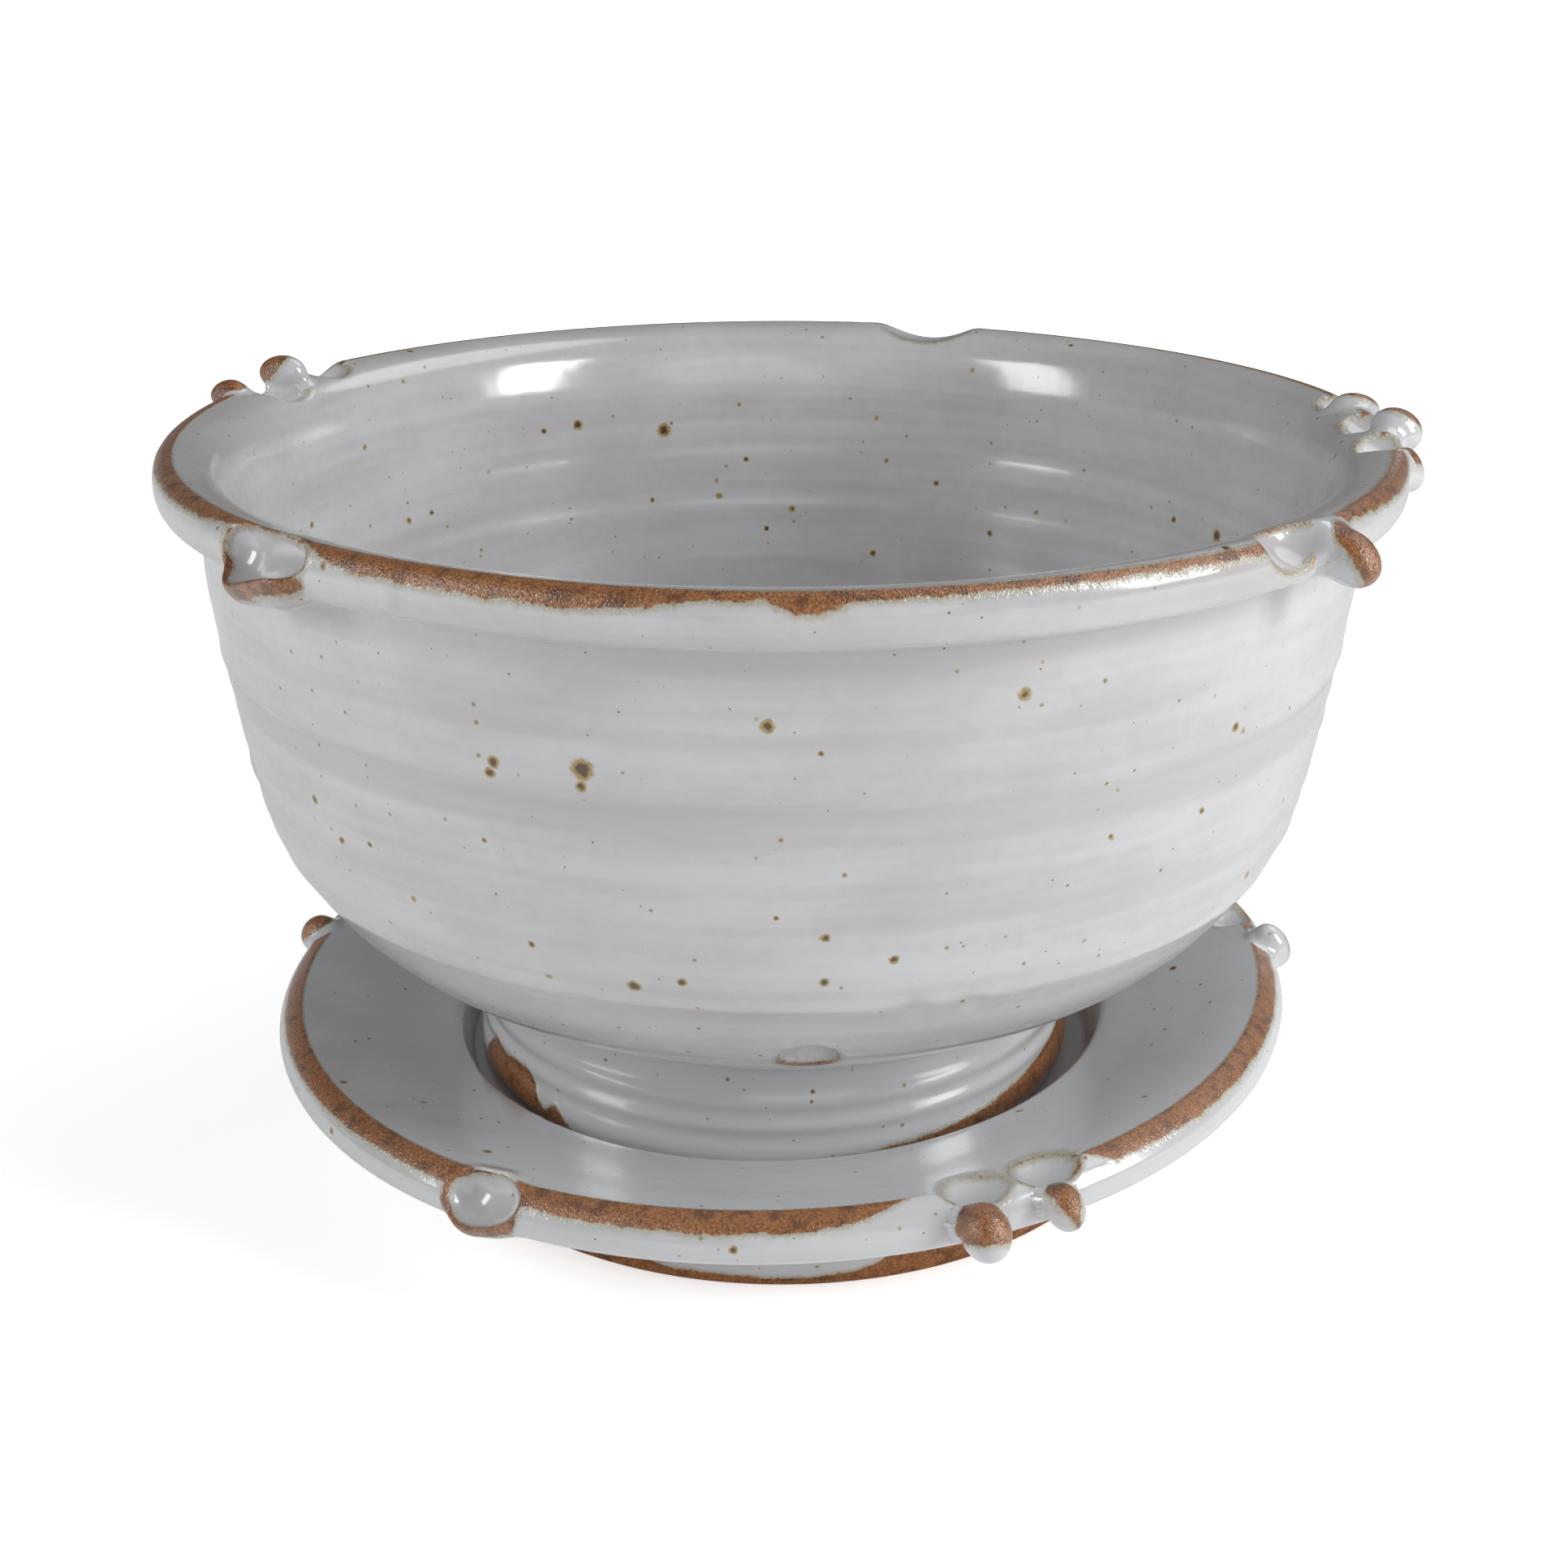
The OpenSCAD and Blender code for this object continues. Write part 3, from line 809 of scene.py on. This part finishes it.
def makePlateFoot():
    r, w, e, top = plateFoot["radius"], plateFoot["width"], plateFoot["round"], plate["footHeight"]
    outline = [(r - w + e, 0), (r - e, 0), (r - e * 0.3, e * 0.3), (r, e), (plate["land"], top),
               (plate["land"] - w - plateFoot["flare"], top), (r - w, e), (r - w + e * 0.3, e * 0.3),
               (r - w + e, 0)]
    bm = thrown(spaced(outline, evenly(0.6))[:-1], plateFoot["steps"])
    finished("plateFoot", "plate_foot_ring", bm, "plate", bareClay(plateFoot, 0))


makePlateFoot()


# The pellets on the rims: azimuth, shares outwards and up of the width, tip in degrees, length, width, and
# the iron cap's facings with how far from the middle each starts
nubs = {
    # the clay round a pellet: how softly it joins it, how far it reaches, how deep under the rim's skin
    "join": 2.4, "skirt": 2.9, "under": 0.06,
    # the iron at its strongest, and its fading on that clay
    "capMost": 1.6, "skirtFade": 3.5, "skirtFrom": 0.2,
    # how fine the ball is that its points start from, and how often the way to the skin is halved
    "fine": 5, "halvings": 22,
    "bowl": {
        "bowl_nub_front_right": (319.3, 0.46, -0.66, 28, 10.2, 7.4, [((0.85, 0.32, 0.42), -1.3)]),
        "bowl_nub_right_front": (349, 0.25, -0.75, 60, 7.38, 5.26, [((-0.1, -0.1, 0.99), 1.3)]),
        "bowl_nub_right_middle": (357.5, 0.22, -0.12, 25, 9, 7.2, [((0.45, 0.45, 0.77), 1.6)]),
        "bowl_nub_right_back": (7.3, -0.05, -0.18, 9, 9, 5.76, [((0.25, 0.5, 0.83), 1.5)]),
        "bowl_nub_left_back": (157.3, -0.05, 0.09, 7, 9.45, 6.19, [((-0.75, 0.1, 0.65), 0.6)]),
        "bowl_nub_left_front": (166.1, 0.42, -0.1, 24, 6.48, 4.32, [((-0.5, -0.1, 0.8), -2)]),
    },
    "plate": {
        "plate_nub_front_left": (288.9, 0.93, -0.47, 45, 9, 7.56, [((0, 0.37, 0.93), -1.1)]),
        "plate_nub_front_right": (297.2, 1.1, -0.56, 45, 7.38, 5.98,
                                  [((0.8, 0.3, 0.5), -0.6), ((-1, 0, 0), -2.2)]),
        "plate_nub_right": (359.4, 0.68, -0.31, 60, 9, 6.12, [((0.9, 0.2, 0.2), 2.6)]),
        "plate_nub_left": (170, 0.6, -0.3, 50, 7.65, 6.12, [((-0.5, 0.2, 0.8), 0.5)]),
    },
}


def makeNub(node, azimuth, out, up, tip, length, width, caps, crest, clay, body, bend):
    centre = around(azimuth, crest[0] + out * width, crest[1] + up * width)
    a, t = math.radians(azimuth), math.radians(tip)
    outwards = np.array([math.cos(a), math.sin(a), 0])
    along = outwards * math.cos(t) - np.array([0, 0, math.sin(t)])
    across = np.array([-math.sin(a), math.cos(a), 0])
    over = np.cross(along, across)

    def pellet(p):
        q = p - centre
        u, v, w = q @ along / (length / 2), q @ across / (width / 2), q @ over / (width / 2)
        k = np.sqrt(u * u + v * v + w * w)
        return (k - 1) * width / 2

    def form(p):
        e = pellet(p)
        return softJoin(e, np.maximum(clay(p) + nubs["under"], e - nubs["skirt"]), nubs["join"])

    # a ball whose points move out along their rays to the skin, found by halving
    bm = bmesh.new()
    bmesh.ops.create_icosphere(bm, subdivisions=nubs["fine"], radius=1)
    rays = placesOf(bm.verts)
    rays /= np.linalg.norm(rays, axis=1)[:, None]
    near, far = np.zeros(len(rays)), np.full(len(rays), length / 2 + nubs["skirt"] + 1)
    for _ in range(nubs["halvings"]):
        middle = (near + far) / 2
        inside = form(centre + rays * middle[:, None]) < 0
        near, far = np.where(inside, middle, near), np.where(inside, far, middle)
    putBack(bm.verts, centre + rays * near[:, None])
    name = "".join(w if i == 0 else w.title() for i, w in enumerate(node.split("_")))

    def cap(p):
        # the iron stays on the pellet, and the clay drawn out round its foot stays white
        sides = [(p - centre) @ np.array(facing) / np.linalg.norm(facing) - start for facing, start in caps]
        skirt = np.maximum(0, pellet(p) - nubs["skirtFrom"])
        return np.minimum(np.min(sides, axis=0), nubs["capMost"]) - nubs["skirtFade"] * skirt

    finished(name, node, bm, body, {"ironInner": noInner, "ironOuter": cap}, bend)


for node, values in nubs["bowl"].items():
    makeNub(node, *values, rimCrest, bowlClay, "bowl", bowlBend)
for node, values in nubs["plate"].items():
    makeNub(node, *values, plateCrest, plateClay, "plate", leaned)


# Finishes

def newMaterial(name):
    material = bpy.data.materials.new(name)
    material.use_nodes = True
    return material, material.node_tree, material.node_tree.nodes["Principled BSDF"]


def addNode(tree, kind, inputs=None, **settings):
    made = tree.nodes.new(kind)
    for key, value in settings.items():
        setattr(made, key, value)
    for key, value in (inputs or {}).items():
        if isinstance(value, bpy.types.NodeSocket):
            tree.links.new(value, made.inputs[key])
        else:
            made.inputs[key].default_value = value
    return made


def maths(tree, operation, a, b=0.0, c=0.0):
    return addNode(tree, "ShaderNodeMath", {0: a, 1: b, 2: c}, operation=operation).outputs[0]


def ease(tree, value, low, high, start=0.0, end=1.0):
    return addNode(tree, "ShaderNodeMapRange", {"Value": value, "From Min": low, "From Max": high,
                                                "To Min": start, "To Max": end},
                   interpolation_type="SMOOTHSTEP").outputs["Result"]


def mixed(tree, share, a, b):
    made = addNode(tree, "ShaderNodeMix", {0: share}, data_type="RGBA")
    for socket, value in ((made.inputs[6], a), (made.inputs[7], b)):
        if isinstance(value, bpy.types.NodeSocket):
            tree.links.new(value, socket)
        else:
            socket.default_value = value
    return made.outputs[2]


def markOf(tree, key):
    return addNode(tree, "ShaderNodeAttribute", attribute_name=key).outputs["Fac"]


def noiseOf(tree, place, stretch, detail, seed):
    sizes = stretch if isinstance(stretch, tuple) else (stretch,) * 3
    scaled = addNode(tree, "ShaderNodeMapping",
                     {"Vector": place, "Location": (seed, seed * 0.7, seed * 1.3),
                      "Scale": tuple(1 / wave for wave in sizes)}).outputs[0]
    noise = addNode(tree, "ShaderNodeTexNoise", {"Vector": scaled, "Scale": 1.0, "Detail": detail})
    return noise.outputs["Fac"]


# The noises: wave in millimetres, or one for each way, detail and seed
noises = {
    "bands": ((80, 80, 3.6), 3, 2.0), "clouds": ((26, 26, 14), 3, 11.0), "mottle": (2.2, 3, 5.0),
    "ragged": (0.75, 2, 3.0), "wander": (3.5, 2, 7.0), "ravel": (0.7, 3, 9.0), "grain": (0.42, 3, 1.0),
    "patch": (2.6, 2, 4.0), "ironSkin": (0.34, 2, 6.0), "skin": (5.0, 1, 8.0),
}
# How far some of them swing to both sides: the glaze's thickness, and the edges of specks and iron
swings = {"bands": 0.66, "clouds": 0.7, "mottle": 0.2, "ragged": 0.55, "wander": 1.2, "ravel": 1.0}
# Where each thing fades in: from, to, and its shares at both when they aren't 0 and 1
fades = {
    "thick": (-0.28, 0.22), "thin": (0.3, 0.6, 0.4, 1.3), "halo": (-0.05, 0.35), "core": (0.38, 0.62),
    "fringe": (-1.1, 0.0), "iron": (-0.18, 0.22), "paleGrain": (0.42, 0.66),
    "darkGrain": (0.47, 0.36, 0.0, 0.6), "darkPatch": (0.48, 0.7, 0.0, 0.8),
}
# Iron specks in the clay: cell size, radius, share of cells with one, how strong, and how strong the core is
specks = {
    "sizes": [(6.6, 0.95, 0.45, 1.0, 1.0), (2.9, 0.5, 0.5, 0.6, 0.55), (2.1, 0.26, 0.5, 0.4, 1.0)],
    "least": 0.02, "largeRagged": 1.3, "halo": (0.37, 0.262, 0.065, 1), "core": (0.085, 0.038, 0.012, 1),
}
# The glaze: its tones, the iron where it is thin, the relief of its skin, and its gloss
glaze = {
    "thick": (0.635, 0.645, 0.66, 1), "thin": (0.53, 0.51, 0.515, 1),
    "rust": (0.295, 0.108, 0.026, 1), "darkRust": (0.11, 0.038, 0.014, 1),
    "paleRust": (0.41, 0.175, 0.06, 1), "fringe": (0.37, 0.32, 0.14, 1),
    "fringeMost": 0.6, "innerRavel": 1.1, "ironRelief": 0.34, "relief": 0.10, "bump": 0.6,
    "rough": 0.2, "ironRough": 0.3, "bareRough": 0.85, "coat": 0.9, "coatRough": 0.14, "coatIor": 1.6,
}


def speckCover(tree, place, cell, size, share, ragged):
    # how far into a speck a point is: above 0 in its halo, 1 in its middle
    cells = addNode(tree, "ShaderNodeTexVoronoi", {"Vector": place, "Scale": 1 / cell, "Randomness": 1.0})
    lot = addNode(tree, "ShaderNodeSeparateColor", {"Color": cells.outputs["Color"]}).outputs[0]
    radius = ease(tree, lot, 1 - share, 1.0, specks["least"], size)
    away = maths(tree, "MULTIPLY", cells.outputs["Distance"], cell)
    return maths(tree, "ADD", maths(tree, "SUBTRACT", 1.0, maths(tree, "DIVIDE", away, radius)), ragged)


def glazed(name, placed=(), tone=0.0, bare=False, gloss=None):
    material, tree, shader = newMaterial(name)
    at = addNode(tree, "ShaderNodeTexCoord").outputs["Object"]
    place = addNode(tree, "ShaderNodeVectorMath", {0: at, 3: 1 / mm}, operation="SCALE").outputs[0]

    noise = {key: noiseOf(tree, place, *look) for key, look in noises.items()}
    swing = {key: maths(tree, "MULTIPLY_ADD", noise[key], most, -most / 2) for key, most in swings.items()}

    # white where the glaze lies thick, mauve grey where the rings of the wall thin it; along the lines, in
    # the crease and at the neck the mauve grey is also painted shade
    thick = maths(tree, "ADD", maths(tree, "ADD", swing["bands"], swing["clouds"]), swing["mottle"])
    thin = maths(tree, "MULTIPLY", markOf(tree, "thin"), ease(tree, noise["clouds"], *fades["thin"]))
    thick = maths(tree, "SUBTRACT", thick, thin)
    share = ease(tree, thick, *(edge + tone for edge in fades["thick"]))
    colour = mixed(tree, share, glaze["thin"], glaze["thick"])

    # specks
    covers = [(speckCover(tree, place, cell, size, share, swing["ragged"]), amount, core)
              for cell, size, share, amount, core in specks["sizes"]]
    if placed:
        cover = -1.0
        for spot, radius in placed:
            away = addNode(tree, "ShaderNodeVectorMath", {0: place, 1: tuple(spot)}, operation="DISTANCE")
            near = maths(tree, "MULTIPLY_ADD", away.outputs["Value"], -1 / radius, 1.0)
            cover = maths(tree, "MAXIMUM", cover, near)
        ragged = maths(tree, "MULTIPLY", swing["ragged"], specks["largeRagged"])
        covers.append((maths(tree, "ADD", cover, ragged), 1.0, 1.0))
    for cover, amount, core in covers:
        halo = maths(tree, "MULTIPLY", ease(tree, cover, *fades["halo"]), amount)
        middle = maths(tree, "MULTIPLY", ease(tree, cover, *fades["core"]), core)
        colour = mixed(tree, middle, mixed(tree, halo, colour, specks["halo"]), specks["core"])

    # iron, where a point is inside both edges
    inner = maths(tree, "MULTIPLY_ADD", swing["ravel"], glaze["innerRavel"], markOf(tree, "ironInner"))
    wild = maths(tree, "ADD", swing["wander"], swing["ravel"])
    inside = maths(tree, "MINIMUM", inner, maths(tree, "ADD", markOf(tree, "ironOuter"), wild))
    fringe, iron = ease(tree, inside, *fades["fringe"]), ease(tree, inside, *fades["iron"])
    rust = mixed(tree, ease(tree, noise["grain"], *fades["paleGrain"]), glaze["rust"], glaze["paleRust"])
    rust = mixed(tree, ease(tree, noise["grain"], *fades["darkGrain"]), rust, glaze["darkRust"])
    rust = mixed(tree, ease(tree, noise["patch"], *fades["darkPatch"]), rust, glaze["darkRust"])
    colour = mixed(tree, maths(tree, "MULTIPLY", fringe, glaze["fringeMost"]), colour, glaze["fringe"])
    colour = mixed(tree, iron, colour, rust)
    tree.links.new(colour, shader.inputs["Base Color"])

    ironRough = glaze["bareRough"] if bare else glaze["ironRough"]
    rough = ease(tree, iron, 0.0, 1.0, gloss or glaze["rough"], ironRough)
    tree.links.new(rough, shader.inputs["Roughness"])
    ironSkin = maths(tree, "MULTIPLY", noise["ironSkin"], glaze["ironRelief"])
    skin = maths(tree, "MULTIPLY", noise["skin"], glaze["relief"])
    height = maths(tree, "ADD", maths(tree, "MULTIPLY", fringe, ironSkin), skin)
    bump = addNode(tree, "ShaderNodeBump", {"Height": height, "Strength": glaze["bump"], "Distance": mm})
    for socket in ("Normal", "Coat Normal"):
        tree.links.new(bump.outputs[0], shader.inputs[socket])
    shader.inputs["Coat Weight"].default_value = 0.0 if bare else glaze["coat"]
    shader.inputs["Coat Roughness"].default_value = glaze["coatRough"]
    shader.inputs["Coat IOR"].default_value = glaze["coatIor"]
    return material


# The specks of the bowl that stand out: azimuth, height and radius, outside and inside
outsideSpecks = [
    (253.9, 99.5, 1.9), (245.9, 98.8, 1.1), (245.5, 97.1, 1.0), (269, 107.2, 1.2), (289.6, 109.6, 1.2),
    (313.4, 97.1, 1.0), (256.6, 64.9, 1.3), (221.8, 83.2, 0.9), (310.9, 84.8, 0.7), (225, 78, 0.8),
    (269.6, 78, 0.5), (258.7, 121.5, 0.7), (278, 123.6, 0.8), (273.8, 74.6, 0.9), (280, 70.2, 0.9),
    (247, 69.8, 0.7), (299.8, 85.2, 0.6), (229.5, 79.5, 0.6)]
insideSpecks = [
    (106.1, 106.3, 1.7), (118.1, 109, 1.3), (22.3, 97.7, 1.5), (42.5, 121.3, 0.9), (123, 108.5, 0.8),
    (88.6, 89.1, 0.9), (141.8, 96.7, 0.7), (92.2, 85, 0.7), (31, 97.7, 0.8), (60.1, 86.9, 0.8),
    (75.6, 99.8, 0.7), (95.8, 111.1, 0.6)]
largeSpecks = [(around(azimuth, float(np.interp(z, wall[:, 1], wall[:, 0])), z), radius)
               for wall, rows in ((outerWall, outsideSpecks), (innerWall[::-1], insideSpecks))
               for azimuth, z, radius in rows]

# the foot's and the plate's glazes are made whiter than the bowl's by their tone: painted light, standing in
# for light that falls on them
finishes = {
    "bowl": glazed("bowlGlaze", largeSpecks), "foot": glazed("bowlFootGlazePaintedLight", tone=-0.3),
    "plate": glazed("plateGlazePaintedLight", tone=-0.2), "nub": glazed("nubGlaze", tone=-0.15, gloss=0.12),
    "clay": glazed("plateFootClay", tone=0.1, bare=True),
}
finishOf = {"colanderBowl": "bowl", "bowlFoot": "foot", "dripPlate": "plate", "plateFoot": "clay"}
for name, piece in pieces.items():
    piece.data.materials.append(finishes[finishOf.get(name, "nub")])
print("finishes made")


# Floor, light and the room's air

stage = {
    "floorSize": 60.0, "floorColour": (0.93, 0.93, 0.93, 1), "floorRough": 0.9, "glow": 0.1, "air": 0.128,
    # how burnt out the camera sees the paper, near the bowl and far away, and between which metres
    "white": (0.57, 1.1), "whiteReach": (0.25, 0.8),
    # the point that the lights face
    "middle": (0, 0, 0.07),
}
# Lights: kind, azimuth and height in degrees, strength
lights = {
    "backKey": ("SUN", (38, 52), 0.6), "frontFill": ("SUN", (-80, 12), 0.25),
    "rightWindow": ("AREA", (-24, 25), 7.8), "leftWindow": ("AREA", (204, 25), 4.4),
}
lamps = {"away": {"SUN": 1.5, "AREA": 1.1}, "spread": 40, "window": (0.33, 0.66)}


def makeStage():
    bm = bmesh.new()
    bmesh.ops.create_grid(bm, x_segments=2, y_segments=2, size=stage["floorSize"] / 2)
    mesh = bpy.data.meshes.new("floor")
    bm.to_mesh(mesh)
    bm.free()
    floor = inScene("floor", mesh)
    paper, tree, shader = newMaterial("floorPaper")
    shader.inputs["Base Color"].default_value = stage["floorColour"]
    shader.inputs["Roughness"].default_value = stage["floorRough"]
    # the camera sees the paper burnt out to white, as in the photograph; the bowl sees it nearly as lit
    at = addNode(tree, "ShaderNodeTexCoord").outputs["Object"]
    away = addNode(tree, "ShaderNodeVectorMath", {0: at}, operation="LENGTH").outputs["Value"]
    white = ease(tree, away, *stage["whiteReach"], *stage["white"])
    seen = addNode(tree, "ShaderNodeLightPath").outputs["Is Camera Ray"]
    shader.inputs["Emission Color"].default_value = (1, 1, 1, 1)
    more = maths(tree, "SUBTRACT", white, stage["glow"])
    tree.links.new(maths(tree, "MULTIPLY_ADD", seen, more, stage["glow"]), shader.inputs["Emission Strength"])
    mesh.materials.append(paper)
    world = bpy.data.worlds.new("air")
    world.use_nodes = True
    # the camera sees the air white too, where it looks past the paper
    tree = world.node_tree
    sky = tree.nodes["Background"]
    sky.inputs["Color"].default_value = (1, 1, 1, 1)
    seen = addNode(tree, "ShaderNodeLightPath").outputs["Is Camera Ray"]
    brightness = maths(tree, "MULTIPLY_ADD", seen, 1.0 - stage["air"], stage["air"])
    tree.links.new(brightness, sky.inputs["Strength"])
    bpy.context.scene.world = world


def makeLight(name, kind, way, strength):
    # large soft suns, as even on the far floor as near the bowl, and windows that the glaze mirrors
    data = bpy.data.lights.new(name, kind)
    data.energy = strength
    if kind == "SUN":
        data.angle = math.radians(lamps["spread"])
    else:
        data.shape = "RECTANGLE"
        data.size, data.size_y = lamps["window"]
    lamp = inScene(name, data)
    azimuth, height = (math.radians(a) for a in way)
    level = math.cos(height)
    towards = Vector((math.cos(azimuth) * level, math.sin(azimuth) * level, math.sin(height)))
    lamp.location = Vector(stage["middle"]) + towards * lamps["away"][kind]
    lamp.rotation_euler = (-towards).to_track_quat("-Z", "Y").to_euler()


makeStage()
bpy.context.scene.view_settings.view_transform = "Standard"
for name, look in lights.items():
    makeLight(name, *look)
print("stage and lights set")
